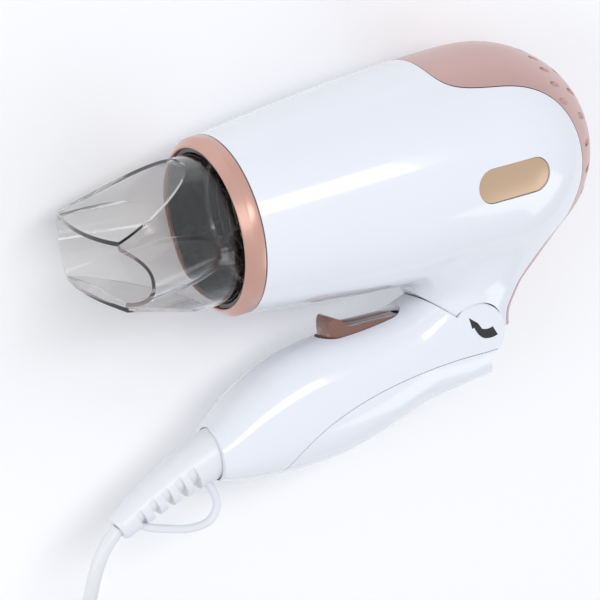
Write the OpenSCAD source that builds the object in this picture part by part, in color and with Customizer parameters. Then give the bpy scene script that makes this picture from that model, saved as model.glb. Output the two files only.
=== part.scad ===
// Folding travel hair dryer, lying on its side with the handle folded under the barrel.
// X runs along the barrel towards the air intake, Y from the handle to the barrel's top,
// Z up out of the dryer's left side. The shapes are drawn about the middle of the joint
// between front ring and barrel, and place() puts the origin under the middle of the dryer.

/* [Barrel] */
// Length of the barrel behind the front ring
barrel_len = 149.5; // [140:0.5:180]
// Radius of the barrel at the front ring
barrel_front_r = 32.5; // [30:0.5:36]
// Largest radius of the barrel
barrel_max_r = 41; // [39:0.5:50]
// Distance from the front ring to the widest place
barrel_full_x = 105; // [95:1:115]
// Wall of the barrel, the neck and the handle
wall = 2.2; // [1.8:0.1:3]

/* [Front ring and outlet] */
// Width of the front ring
ring_w = 7; // [5:0.5:9]
// Inner radius of the black outlet sleeve
sleeve_r = 27.4; // [24:0.1:28]
// Wall of the outlet sleeve
sleeve_wall = 1.4; // [1:0.1:2]
// Length of the outlet sleeve behind the front ring
sleeve_len = 20; // [15:1:24]

/* [Nozzle] */
// Distance from the front ring's rear edge to the middle of the mouth
nozzle_reach = 54; // [45:1:70]
// Half the width of the mouth
mouth_half_w = 40.5; // [30:0.5:40.5]
// Half the height of the mouth
mouth_half_h = 12; // [6:0.5:16]
// How far the mouth's corners are swept back
mouth_sweep = 9.5; // [0:0.5:12]
// Wall of the clear nozzle
nozzle_wall = 1.6; // [1.2:0.1:2.2]
// Turn of the nozzle about the barrel
nozzle_turn = 5.5; // [0:0.5:45]
// Depth of the nozzle's collar inside the sleeve
collar_depth = 9; // [6:0.5:12]

/* [Hinge] */
// Place of the fold pivot along the barrel
pivot_x = 88; // [80:0.5:92]
// Distance of the fold pivot below the barrel's axis
pivot_drop = 61.5; // [60:0.5:68]
// Radius of the hinge ears
ear_r = 11; // [9:0.5:12]
// Half the width over the hinge ears
ear_half = 16.5; // [15:0.5:18]
// Half the width of the knuckle between the ears
knuckle_half = 10.5; // [8:0.5:12]
// Radius of the hinge pin
pin_r = 2.5; // [2:0.1:3]
// Unfolding angle of the barrel
fold_range = 66; // [60:1:66]

/* [Switch] */
// Length of the rocker
rocker_len = 32; // [28:1:36]
// Width of the rocker
rocker_w = 12.5; // [10:0.5:14]
// Place of the rocker's middle along the barrel
rocker_x = 47.5; // [44:0.5:51]
// Travel of the rocker
rocker_travel = 15; // [10:1:16]

/* [Inside] */
// Radius of the motor's can
motor_r = 12; // [10:0.5:14]
// Length of the motor's can
motor_len = 27; // [22:1:30]
// Radius of the motor's shaft
shaft_r = 1; // [0.8:0.1:1.5]
// Radius of the fan over its blades
fan_r = 33; // [28:0.5:34]
// Number of fan blades
fan_blades = 7; // [5:1:11]
// Radius of the heater's mica tube
heater_r = 26; // [22:0.5:27]
// Length of the heater's mica tube
heater_len = 44; // [36:1:46]

/* [Cord and plug] */
// Diameter of the cord
cord_d = 5; // [4.5:0.1:6]
// Length of the strain relief
relief_len = 43; // [30:1:48]
// Radius of a plug pin
plug_pin_r = 2.4; // [2:0.1:2.4]
// Length of a plug pin outside the body
plug_pin_len = 19; // [15:1:19]
// Distance between the plug pins
plug_pin_gap = 19; // [18:0.5:20]

/* [Hidden] */
$fn = 48;

// Skin that the ears keep over the ends of the hinge pin
pin_cover = 1.5;
pin_len = 2 * (ear_half - pin_cover);

// Clearances: moving faces, pieces that slip together, and a running fit on the radius
move_gap = 0.4;
slip_gap = 0.2;
run_gap = 0.05;
seat_gap = 0.01;
// Step where a lofted face meets a round one, and a length past everything
seam = 0.1;
big = 400;

pivot = [pivot_x, -pivot_drop];
shoulder_angle = 134.5;
handle_end_angle = -72;
stop_gap_angle = 1;
neck_end_angle = handle_end_angle + fold_range + stop_gap_angle;
end_wall_angle = 5;

// Handle outline: place along the barrel, top, bottom, half depth, at eleven stations.
handle_stations = [
    [-19, -70.5, -89.5, 11.5], [-13, -66, -91.5, 13.5], [-5, -60.2, -93, 15.2],
    [5, -55.2, -94, 16.5], [16, -51.8, -94.5, 17.2], [30, -50, -94, 17.5],
    [46, -49.6, -91, 17.5], [60, -48.2, -87, 17.2], [72, -45.6, -83.8, 16.8],
    [82, -44.5, -82, 16.5], [92, -44, -81, 16.5]];
handle_low = max([for (s = handle_stations) -s[2]]);

// Neck outline: distance below the barrel's axis, front, rear, half depth.
neck_stations = [
    [-18, 68, 136, 25], [-25, 67, 137.8, 24.6], [-31, 66, 134.6, 23.6],
    [-37, 66.4, 128.4, 21.6], [-43, 69.6, 121, 19.4], [-49, 71.3, 114.6, 17.7],
    [-55, 71.9, 110.4, 16.8], [-62, 72, 107.8, ear_half], [-72, 72, 107, ear_half]];

place_x = (barrel_len - nozzle_reach) / 2;
place_y = (barrel_max_r - handle_low) / 2;
module place() { translate([-place_x, -place_y, barrel_max_r]) children(); }

// ---- curves and sweeps ----
function mix(a, b, t) = a + (b - a) * t;
function bezier(p, n) = [for (i = [0:n]) let (t = i / n, s = 1 - t)
    p[0] * s * s * s + 3 * p[1] * s * s * t + 3 * p[2] * s * t * t + p[3] * t * t * t];
function arc(c, r, from, to, n) = [for (i = [0:n]) let (a = mix(from, to, i / n))
    c + r * [cos(a), sin(a)]];
function spline_at(p, i, t) = let (n = len(p) - 1, b = p[i], c = p[i + 1],
    a = i > 0 ? p[i - 1] : 2 * b - c,
    d = i + 2 <= n ? p[i + 2] : 2 * c - b)
    0.5 * (2 * b + (c - a) * t + (2 * a - 5 * b + 4 * c - d) * t * t
        + (3 * b - 3 * c + d - a) * t * t * t);
function spline(p, steps) = concat(
    [for (i = [0:len(p) - 2], k = [0:steps - 1]) spline_at(p, i, k / steps)], [p[len(p) - 1]]);
function power(v, e) = sign(v) * pow(abs(v), e);
function oval(half_a, half_b, roundness, n) = [for (i = [0:n - 1]) let (t = 360 * i / n)
    [half_a * power(cos(t), 2 / roundness), half_b * power(sin(t), 2 / roundness)]];

// A closed skin through rings that all have the same number of points.
module skin(rings) {
    n = len(rings[0]);
    last = len(rings) - 1;
    points = [for (ring = rings, p = ring) p];
    sides = [for (i = [0:last - 1], k = [0:n - 1]) let (m = (k + 1) % n)
        [i * n + k, i * n + m, (i + 1) * n + m, (i + 1) * n + k]];
    ends = [[for (k = [n - 1:-1:0]) k], [for (k = [0:n - 1]) last * n + k]];
    polyhedron(points, concat(sides, ends));
}

// A round tube along a route, its rings square to the route.
module tube(route, r, sides) {
    last = len(route) - 1;
    rings = [for (i = [0:last]) let (
        ahead = route[min(i + 1, last)] - route[max(i - 1, 0)],
        along = ahead / norm(ahead),
        side = cross(along, [0, 0, 1]) / norm(cross(along, [0, 0, 1])),
        lift = cross(side, along))
        [for (k = [0:sides - 1]) let (a = 360 * (k + 0.5) / sides)
            route[i] + r / cos(180 / sides) * (cos(a) * lift - sin(a) * side)]];
    skin(rings);
}

module along_x() { rotate([0, 90, 0]) children(); }
module ring_x(x, len, outer, inner) {
    translate([x, 0, 0]) along_x() difference() {
        cylinder(h = len, r = outer);
        translate([0, 0, -1]) cylinder(h = len + 2, r = inner);
    }
}
// An outline seen from the side, through the whole depth of the dryer
module slab() { translate([0, 0, -1.5 * barrel_max_r]) linear_extrude(3 * barrel_max_r) children(); }
module at_pivot() { translate([pivot[0], pivot[1], 0]) children(); }

// ---- barrel and neck ----
function barrel_r(x) = barrel_front_r
    + (barrel_max_r - barrel_front_r) * sin(90 * x / barrel_full_x);
dome_len = barrel_len - barrel_full_x;

module barrel_solid(inset, front) {
    body = [for (i = [0:12]) let (x = mix(front, barrel_full_x, i / 12))
        [barrel_r(max(x, 0)) - inset, x]];
    dome = [for (i = [1:14]) let (a = 90 * i / 14)
        [(barrel_max_r - inset) * cos(a), barrel_full_x + (dome_len - inset) * sin(a)]];
    along_x() rotate_extrude() polygon(concat([[0, front]], body, dome));
}

module neck_solid(inset) {
    rings = [for (s = spline(neck_stations, 2)) let (
        middle = (s[1] + s[2]) / 2, half = (s[2] - s[1]) / 2 - inset)
        [for (p = oval(half, s[3] - inset, 2.4, 28)) [middle + p[0], s[0], -p[1]]]];
    skin(rings);
}

// The slice of space round the fold pivot between two angles.
module sector(from, to, r) {
    slab()
        polygon(concat([pivot], arc(pivot, r, from, to, 16)));
}

module barrel_outside() {
    barrel_solid(0, 0);
    intersection() {
        neck_solid(0);
        sector(neck_end_angle, shoulder_angle, 90);
    }
}

module barrel_inside() {
    barrel_solid(wall, -1);
    difference() {
        intersection() {
            neck_solid(wall);
            sector(neck_end_angle + end_wall_angle, shoulder_angle - end_wall_angle, 90);
        }
        at_pivot() cylinder(h = big, r = ear_r + 2 * wall, center = true);
    }
}

// The room that the handle's ears turn in, beside the knuckle.
module ear_room() {
    at_pivot() for (side = [-1, 1])
        translate([0, 0, side * (knuckle_half + 10)])
            cylinder(h = 20, r = ear_r + move_gap, center = true);
}

module barrel_shape() {
    difference() {
        union() {
            difference() {
                barrel_outside();
                barrel_inside();
                ear_room();
            }
            at_pivot() cylinder(h = 2 * knuckle_half, r = ear_r, center = true);
            intersection() {
                barrel_outside();
                screw_bosses();
            }
        }
        at_pivot() cylinder(h = big, r = pin_r + run_gap, center = true);
        screw_holes();
        for (side = [-1, 1]) badge_pocket(side);
    }
}

// The line between the white shells and the rear cover, seen from the side.
cover_line = concat(
    bezier([[82, 60], [82, 52], [82, 44], [82, 38]], 1),
    bezier([[82, 38], [82.5, 31], [92, 30.4], [104, 28.6]], 7),
    bezier([[104, 28.6], [124, 25.5], [131.5, 12], [131.5, -5]], 9),
    bezier([[131.5, -5], [131, -28], [112, -40], [103, -56]], 8),
    [[101.5, -66]]);

module cover_region() {
    slab()
        polygon(concat(cover_line, [[170, -66], [170, 60]]));
}

module shell_half(side) {
    intersection() {
        difference() {
            barrel_shape();
            cover_region();
        }
        translate([0, 0, side * 50]) cube([big, big, 100], center = true);
    }
}

module barrel_shell_left() color("aliceblue") place() shell_half(1);
module barrel_shell_right() color("aliceblue") place() shell_half(-1);

// Air slots: rows round the barrel's axis, each [inner radius, depth, last angle, count].
slot_rows = [[33.4, 2.8, 60, 11], [26, 4.4, 130, 14], [18.4, 4.4, 165, 12], [11, 4, 157.5, 8]];
slot_w = 2.6;

module air_slots() {
    for (row = slot_rows, i = [0:row[3] - 1])
        rotate([mix(-row[2], row[2], i / (row[3] - 1)), 0, 0])
            translate([barrel_full_x + 8, row[0], -slot_w / 2]) cube([60, row[1], slot_w]);
}

module rear_cover() color("rosybrown") place() difference() {
    intersection() {
        barrel_shape();
        cover_region();
    }
    air_slots();
}

// ---- screw bosses that hold the two shells together ----
girth = barrel_max_r / 41;
screw_places = [[30, -31 * girth], [100, -41 * girth], [50, 31.5 * girth]];
boss_r = 3.6;
screw_r = 1.4;
screw_head_r = 2.8;
screw_head_len = 2;
barrel_screw_len = 18;
barrel_screw_z = -8;
module screw_bosses() {
    for (p = screw_places) translate([p[0], p[1], 0]) cylinder(h = 36, r = boss_r, center = true);
}
module screw_holes() {
    for (p = screw_places) translate([p[0], p[1], barrel_screw_z]) {
        cylinder(h = barrel_screw_len, r = screw_r + run_gap);
        translate([0, 0, -60]) cylinder(h = 60, r = screw_head_r + slip_gap);
    }
}
module screw(len) {
    cylinder(h = len, r = screw_r);
    translate([0, 0, -screw_head_len]) difference() {
        cylinder(h = screw_head_len, r = screw_head_r);
        for (a = [0, 90]) rotate([0, 0, a]) translate([0, 0, 0.4])
            cube([3.4, 0.8, 1], center = true);
    }
}
module barrel_screws() color("silver") place()
    for (p = screw_places) translate([p[0], p[1], barrel_screw_z]) screw(barrel_screw_len - 0.5);

// ---- front ring, sleeve and grille ----
module front_ring() color("rosybrown") place() difference() {
    along_x() rotate_extrude() polygon(concat(
        [[sleeve_r + sleeve_wall + slip_gap, 0], [barrel_front_r, 0]],
        [[barrel_front_r, -1]],
        arc([barrel_front_r - 3.2, 3 - ring_w], 2.8, 0, -80, 6),
        [[sleeve_r + sleeve_wall + slip_gap, -ring_w]]));
}

module outlet_sleeve() color("dimgray") place() {
    ring_x(1 - ring_w, ring_w - 1 + sleeve_len, sleeve_r + sleeve_wall, sleeve_r);
    ring_x(0, 3, barrel_front_r - wall, sleeve_r + sleeve_wall / 2);
}

grille_x = collar_depth - ring_w + 8;
module outlet_grille() color("dimgray") place() intersection() {
    union() {
        for (r = [7, 14, 21]) ring_x(grille_x, 1.6, r + 0.7, r - 0.7);
        ring_x(grille_x, 3, sleeve_r - 0.02, sleeve_r - 1.6);
        for (a = [0:60:120]) rotate([a, 0, 0])
            translate([grille_x, -sleeve_r + 1, -0.8]) cube([1.6, 2 * sleeve_r - 2, 1.6]);
    }
    ring_x(grille_x - 1, 6, sleeve_r - 0.02, 0.01);
}

// ---- badges, a plain inlay on each side of the barrel ----
badge_x = 97;
badge_y = -3;
badge_len = 30;
badge_h = 12.5;
badge_t = 1;
badge_depth = 0.6;
module badge_outline(grow) {
    for (s = [-1, 1]) translate([s * (badge_len - badge_h) / 2, 0]) circle(r = badge_h / 2 + grow);
    square([badge_len - badge_h, badge_h + 2 * grow], center = true);
}
module badge_slab(side, grow) {
    translate([badge_x, badge_y, side * 40]) linear_extrude(24, center = true) badge_outline(grow);
}
module badge_pocket(side) {
    difference() {
        badge_slab(side, 0.1);
        barrel_solid(badge_depth + badge_t, 0);
    }
}
module badge(side) {
    intersection() {
        badge_slab(side, 0);
        difference() {
            barrel_solid(badge_depth, 0);
            barrel_solid(badge_depth + badge_t, -1);
        }
    }
}
module badge_left() color("tan") place() badge(1);
module badge_right() color("tan") place() badge(-1);

// ---- what the barrel holds ----
fan_x = 106;
fan_len = 11;
motor_x = fan_x - 5 - motor_len;
heater_x = 18;
housing_r = barrel_max_r - 5;
housing_wall = 1.6;
module housing_cone(inset) {
    translate([motor_x - 4, 0, 0]) along_x()
        cylinder(h = fan_x + 2 - motor_x, r1 = heater_r + 2 - inset, r2 = housing_r - inset);
}
module fan_housing() color("gainsboro") place() {
    ring_x(fan_x - 2, fan_len + 5, housing_r, housing_r - housing_wall);
    difference() {
        housing_cone(0);
        housing_cone(housing_wall);
    }
    ring_x(motor_x, motor_len - 1, motor_r + 1.8, motor_r + slip_gap);
    intersection() {
        housing_cone(housing_wall / 2);
        for (a = [10:60:310]) rotate([a, 0, 0])
            translate([motor_x, motor_r + 1, -0.7]) cube([motor_len - 4, housing_r, 1.4]);
    }
}

module motor() color("silver") place() translate([motor_x, 0, 0]) along_x() difference() {
    union() {
        cylinder(h = motor_len, r = motor_r);
        translate([0, 0, motor_len - 0.5]) cylinder(h = 2.5, r = 3.5);
        translate([0, 0, -2]) cylinder(h = 2.5, r = 3.5);
    }
    translate([0, 0, -5]) cylinder(h = motor_len + 10, r = shaft_r + run_gap);
}

module motor_shaft() color("gray") place()
    translate([motor_x - 1, 0, 0]) along_x() cylinder(h = motor_len + 6 + fan_len, r = shaft_r);

fan_hub_r = 10;
module fan() color("darkslategray") place() difference() {
    union() {
        translate([fan_x, 0, 0]) along_x() cylinder(h = fan_len, r = fan_hub_r);
        intersection() {
            ring_x(fan_x, fan_len, fan_r, fan_hub_r - 1);
            for (i = [0:fan_blades - 1]) rotate([360 * i / fan_blades, 0, 0])
                translate([fan_x + fan_len / 2, fan_hub_r - 1, 0]) rotate([0, 38, 0])
                    translate([-10, 0, -0.6]) cube([20, fan_r, 1.2]);
        }
    }
    translate([motor_x - 4, 0, 0]) along_x() cylinder(h = big, r = shaft_r);
}

module rectifier_board() color("darkgreen") place() translate([motor_x - 5, 0, 0]) {
    along_x() difference() {
        cylinder(h = 1.4, r = 9);
        translate([0, 0, -1]) cylinder(h = 4, r = 4.2);
    }
    for (a = [45:90:315]) rotate([a, 0, 0]) translate([-3, 5, -1.2]) cube([3, 3, 2.4]);
}

module intake_filter() color("dimgray") place() {
    filter_x = 125.5;
    filter_r = barrel_max_r - 9;
    ring_x(filter_x, 2.5, filter_r, filter_r - 2.4);
    difference() {
        translate([filter_x, 0, 0]) along_x() cylinder(h = 0.8, r = filter_r - 1.5);
        for (y = [-24:6:24], z = [-24:6:24]) if (norm([y, z]) < 27)
            translate([filter_x, y, z]) cube([4, 4.6, 4.6], center = true);
    }
}

module heater_tube() color("tan") place()
    ring_x(heater_x, heater_len, heater_r, heater_r - 0.6);

coil_pitch = 5;
coil_r = 20;
coil_wire_r = 1.5;
module coil_rings(r) {
    for (i = [0:6]) translate([heater_x + 7 + i * coil_pitch, 0, 0]) along_x()
        rotate_extrude() translate([coil_r, 0]) circle(r = r, $fn = 16);
}
module heater_boards() color("tan") place() difference() {
    union() {
        for (a = [0, 90]) rotate([a, 0, 0])
            translate([heater_x + 1, 0.8 - heater_r, -0.4])
                cube([heater_len - 2, 2 * heater_r - 1.6, 0.8]);
    }
    coil_rings(coil_wire_r);
}
module heater_coils() color("silver") place() coil_rings(coil_wire_r - 0.01);

module thermostat() color("goldenrod") place()
    translate([heater_x + heater_len - 14, -9, 0.4]) {
        cube([9, 7, 1.6]);
        translate([1, 1, 1.6]) cube([6, 5, 0.8]);
    }
module thermal_fuse() color("white") place()
    translate([heater_x + heater_len - 16, 7, 1.7]) along_x() cylinder(h = 10, r = 1.3);

// Leads: through the neck in the barrel, and in the handle from clamp to switch and hinge
lead_r = 1.1;
lead_z = [-5, 0, 5];
module barrel_leads() color("indianred") place() {
    for (z = lead_z) tube(spline([
        [heater_x + heater_len + 3, -11, z * 0.6], [heater_x + heater_len + 3.5, -22, z * 0.8],
        [heater_x + heater_len + 4, -30, z], [73, -36.5, z], [82, -39, z], [87, -44.4, z]], 3),
        lead_r, 8);
}

// ---- nozzle ----
nozzle_out_r = sleeve_r - move_gap;
nozzle_steps = 10;
function nozzle_ring(t, inset, n) = let (
    ease = t * t * (3 - 2 * t),
    x = mix(-ring_w - 1, -nozzle_reach, t),
    half_w = mix(nozzle_out_r - seam, mouth_half_w, pow(t, 0.8)) - inset,
    half_h = mix(nozzle_out_r - seam, mouth_half_h, ease) - inset)
    [for (p = oval(half_h, half_w, mix(2, 2.6, t), n))
        [x + mouth_sweep * t * pow(p[1] / mouth_half_w, 2), p[0], -p[1]]];
module nozzle_skin(inset, past) {
    mouth = nozzle_ring(1, inset, 36);
    skin(concat(
        past > 0 ? [[for (p = mouth) p - [past, 0, 0]]] : [],
        [for (i = [nozzle_steps:-1:0]) nozzle_ring(i / nozzle_steps, inset, 36)]));
}
module nozzle() color("whitesmoke", 0.4) place() rotate([nozzle_turn, 0, 0]) difference() {
    union() {
        nozzle_skin(0, 0);
        translate([-ring_w - 1.01, 0, 0]) along_x()
            cylinder(h = 1.01 + collar_depth, r = nozzle_out_r, $fn = 72);
    }
    nozzle_skin(nozzle_wall, 1);
    translate([-ring_w - 1.01, 0, 0]) along_x()
        cylinder(h = big / 4, r = nozzle_out_r - nozzle_wall - 3 * seam, $fn = 72);
}

// ---- handle ----
module handle_solid(inset) {
    rings = [for (s = spline(handle_stations, 2)) let (
        middle = (s[1] + s[2]) / 2, half = (s[1] - s[2]) / 2 - inset)
        [for (p = oval(half, s[3] - inset, 2.3, 28)) [s[0], middle + p[0], -p[1]]]];
    skin(rings);
}

// Where the front shell ends and the back shell starts, seen from the side.
back_line = bezier([[1, -97], [9, -74], [50, -67], [90, -69.5]], 12);
module back_region() {
    slab()
        polygon(concat(back_line, [[130, -69.5], [130, -120], [1, -120]]));
}

// The space of the handle's body, which stops at the shoulder and at its end by the hinge.
module handle_space(gap_angle) {
    difference() {
        translate([-100, -200, -60]) cube([300, 200, 120]);
        sector(handle_end_angle, shoulder_angle + gap_angle, 90);
    }
}

module handle_outside() {
    intersection() {
        handle_solid(0);
        handle_space(stop_gap_angle);
    }
}

module handle_inside() {
    difference() {
        handle_solid(wall);
        translate([-60, -200, -60]) cube([60 + relief_start[0] + wall, 400, 120]);
        sector(handle_end_angle - end_wall_angle, shoulder_angle + end_wall_angle, 90);
        at_pivot() cylinder(h = big, r = ear_r + move_gap + wall, center = true);
    }
}

// Bosses: two for the screws that hold the back shell, two for the cord clamp.
handle_screw_places = [[20, -92.4], [70, -82.2]];
clamp_at = [2, -82];
clamp_screw_z = 8;
module along_y(x, y, z) { translate([x, y, z]) rotate([-90, 0, 0]) children(); }
module handle_bosses() {
    for (p = handle_screw_places) along_y(p[0], -110, 0) cylinder(h = 70, r = boss_r);
    for (s = [-1, 1]) along_y(clamp_at[0], -110, s * clamp_screw_z)
        cylinder(h = 110 + clamp_at[1], r = boss_r - 0.6);
}
module handle_screw_holes() {
    for (p = handle_screw_places) {
        along_y(p[0], p[1], 0) cylinder(h = 22, r = screw_r + run_gap);
        along_y(p[0], p[1] - 10, 0) cylinder(h = 10, r = screw_head_r + slip_gap);
    }
    for (s = [-1, 1]) along_y(clamp_at[0], clamp_at[1] - 7, s * clamp_screw_z)
        cylinder(h = 10, r = screw_r + run_gap);
}

rocker_pivot = [rocker_x, -53.5];
tilt_room = 1;
window_half = rocker_len / 2 + move_gap + tilt_room;
module switch_window() {
    translate([rocker_x, -50, 0]) rotate([90, 0, 0]) linear_extrude(14, center = true) {
        for (s = [-1, 1]) translate([s * (window_half - rocker_w / 2 - move_gap), 0])
            circle(r = rocker_w / 2 + move_gap);
        square([2 * window_half - rocker_w - 2 * move_gap, rocker_w + 2 * move_gap], center = true);
    }
}

relief_start = [-19, -80];
relief_dir = 196;
relief_bend = 12;
relief_big_r = 9.2;
relief_tip_r = 5;
module relief_axis() {
    translate([relief_start[0], relief_start[1], 0]) rotate([0, 0, relief_dir]) along_x()
        children();
}

module handle_shape() {
    difference() {
        union() {
            difference() {
                handle_outside();
                handle_inside();
            }
            intersection() {
                handle_outside();
                handle_bosses();
            }
            at_pivot() for (side = [-1, 1])
                translate([0, 0, side * (knuckle_half + move_gap + ear_half) / 2])
                    cylinder(h = ear_half - knuckle_half - move_gap, r = ear_r, center = true);
        }
        at_pivot() cylinder(h = 2 * (knuckle_half + move_gap), r = ear_r + move_gap, center = true);
        at_pivot() cylinder(h = pin_len, r = pin_r + seat_gap, center = true);
        switch_window();
        handle_screw_holes();
        relief_axis() translate([0, 0, -12]) cylinder(h = 40, r = relief_big_r + slip_gap);
    }
}

module handle_shell() color("aliceblue") place() difference() {
    handle_shape();
    back_region();
}
module handle_back() color("aliceblue") place() intersection() {
    handle_shape();
    back_region();
}

// ---- hinge hardware ----
module hinge_pin() color("silver") place()
    at_pivot() cylinder(h = pin_len, r = pin_r, center = true);
module hinge_washers() color("silver") place() at_pivot()
    for (side = [-1, 1]) translate([0, 0, side * (knuckle_half + move_gap / 2)]) difference() {
        cylinder(h = 0.3, r = 6, center = true);
        cylinder(h = 1, r = pin_r + 0.1, center = true);
    }

// ---- rocker and switch ----
// The rocker's top from the raised front end to the low rear end
rocker_top = concat([[-15.4, 4.5], [-14, 7.8]],
    bezier([[-12.5, 10.6], [-10.5, 10.9], [-8, 5.8], [2, 5.6]], 6), [[12, 5], [15.3, 4.2]]);
function stretched(p) = [p[0] * rocker_len / 32, p[1]];
// The rocker's skirt still fills the window when it is tilted all the way.
skirt_top = 12;
skirt_low = 7 - rocker_travel;
module rocker_profile() {
    end_r = rocker_len / 2;
    polygon(concat([for (p = rocker_top) stretched(p)], arc([0, 0], end_r, skirt_top, skirt_low, 4),
        arc([0, 0], end_r, 180 - skirt_low, 180 - skirt_top, 4)));
}
module rocker() color("rosybrown") place() translate([rocker_pivot[0], rocker_pivot[1], 0]) {
    difference() {
        intersection() {
            linear_extrude(rocker_w, center = true) rocker_profile();
            rotate([90, 0, 0]) linear_extrude(60, center = true) {
                for (s = [-1, 1]) translate([s * (rocker_len - rocker_w) / 2, 0])
                    circle(r = rocker_w / 2);
                square([rocker_len - rocker_w, rocker_w], center = true);
            }
        }
        translate([0, -2.25, 0]) cube([20, 9.5, rocker_w - 3.2], center = true);
        cylinder(h = big, r = rocker_pin_r + run_gap, center = true);
    }
}

rocker_pin_r = 1;
switch_stem_w = rocker_w - 3.2 - 2 * move_gap;
switch_top = -61;
switch_h = 12;
module rocker_pin() color("silver") place() translate([rocker_pivot[0], rocker_pivot[1], 0])
    cylinder(h = rocker_w - 0.4, r = rocker_pin_r, center = true);
module switch_body() color("dimgray") place() difference() {
    union() {
        translate([rocker_x - 14, switch_top - switch_h, -9]) cube([28, switch_h, 18]);
        translate([rocker_pivot[0] - 2.2, switch_top - 1, -switch_stem_w / 2])
            cube([4.4, rocker_pivot[1] - switch_top + 2.9, switch_stem_w]);
    }
    translate([rocker_pivot[0], rocker_pivot[1], 0])
        cylinder(h = big, r = rocker_pin_r + seat_gap, center = true);
}
module switch_terminals() color("goldenrod") place()
    for (x = [-9, -3, 3, 9]) translate([rocker_x + x - 0.4, switch_top - switch_h - 6, -2.4])
        cube([0.8, 6, 4.8]);

lead_y = switch_top - switch_h - 8;
module handle_leads() color("steelblue") place()
    for (s = [-1, 1]) {
        tube(spline([[-5.5, -82, s * 1.9], [clamp_at[0], -84.4, s * 2.2], [11, -84.4, s * 5.6],
            [22, -82.5, s * 5.6], [rocker_x - 9, lead_y, s * 4]], 3), lead_r, 8);
        tube(spline([[rocker_x + 9, lead_y, s * 4], [64, -78.6, s * 5.6], [76, -76, s * 5.6]], 4),
            lead_r, 8);
    }

// ---- cord clamp and screws in the handle ----
clamp_t = 2.4;
module cord_clamp() color("whitesmoke") place() difference() {
    translate([clamp_at[0] - 4, clamp_at[1], -11]) cube([8, clamp_t, 22]);
    for (s = [-1, 1]) along_y(clamp_at[0], clamp_at[1] - 1, s * clamp_screw_z)
        cylinder(h = clamp_t + 2, r = screw_r + run_gap);
}
module clamp_screws() color("silver") place()
    for (s = [-1, 1]) translate([clamp_at[0], clamp_at[1] + clamp_t, s * clamp_screw_z])
        rotate([90, 0, 0]) screw(8);
module handle_screws() color("silver") place()
    for (p = handle_screw_places) along_y(p[0], p[1], 0) screw(20);

// ---- strain relief and hanging loop ----
function relief_point(t) = let (a = relief_dir + relief_bend * t / 2)
    [relief_start[0], relief_start[1], 0] + relief_len * t * [cos(a), sin(a), 0];
function relief_r(t) = mix(relief_big_r - seam, relief_tip_r, t);
relief_grooves = 5;
module strain_relief() color("whitesmoke") place() {
    steps = 22;
    rings = [for (i = [0:steps]) let (t = i / steps, a = relief_dir + relief_bend * t,
        waist = (i >= 6 && i < 20 && i % 3 == 0) ? 0.84 : 1)
        [for (k = [0:23]) let (b = 15 * k) relief_point(t)
            + relief_r(t) * waist * [-sin(a) * cos(b), cos(a) * cos(b), -sin(b)]]];
    skin(rings);
    relief_axis() {
        translate([0, 0, -8]) cylinder(h = 8.5, r = relief_big_r);
        translate([0, 0, -11]) cylinder(h = 3.2, r = relief_big_r - 2);
    }
}

loop_r = 1.5;
loop_route = [[-23.5, -86.5, 0], [-20, -94.5, 0], [-20, -100, 0], [-24, -104, 0],
    [-31.5, -104.3, 0], [-40, -101.8, 0], [-48, -98.6, 0], [-53, -94.8, 0]];
module hang_loop() color("whitesmoke") place() tube(spline(loop_route, 3), loop_r, 12);

// ---- cord, coil, tie and plug, in the dryer's own frame ----
cord_r = cord_d / 2;
coil_c = [-86, -172];
coil_mid_r = 30;
coil_turns = 3;
cord_start = relief_point(1) + [-place_x, -place_y, barrel_max_r];
lead_route = [[-111.3, -73.1, 41], [-115, -78, 40.6], [-117.4, -83.6, 39.3],
    [-118.8, -89.7, 36.9], [-119.7, -96.4, 33.4], [-120.3, -103.8, 28.8], [-120.7, -111.6, 23.4],
    [-120.9, -119.8, 17.6], [-121, -128.4, 12], [-121, -137.8, 7.2], [-121, -148, 4],
    [-121, -159.5, 2.6], [-121, -171, 2.5]];
tail_route = [[-86, -212, 2.5], [-76, -212, 2.5], [-66, -210.5, 2.6], [-57, -206.5, 4.2],
    [-48, -202, 8], [-40, -200, 11]];
module cord_lead() color("whitesmoke")
    tube(spline(concat([cord_start], lead_route), 2), cord_r, 10);
module cord_tail() color("whitesmoke") tube(spline(tail_route, 2), cord_r, 10);
module cord_coil() color("whitesmoke") translate([coil_c[0], coil_c[1], 0]) rotate_extrude()
    translate([coil_mid_r - 1.5 * cord_d, 0]) square([coil_turns * cord_d, coil_turns * cord_d]);

tie_w = 6;
tie_t = 0.8;
module cord_tie() color("dimgray")
    translate([coil_c[0] + coil_mid_r, coil_c[1], 0]) difference() {
        translate([-1.5 * cord_d - tie_t, -tie_w / 2, 0])
            cube([coil_turns * cord_d + 2 * tie_t, tie_w, coil_turns * cord_d + tie_t]);
        translate([-coil_mid_r, 0, -1]) rotate_extrude()
            translate([coil_mid_r - 1.5 * cord_d, 0])
                square([coil_turns * cord_d, coil_turns * cord_d + 1]);
    }

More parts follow.
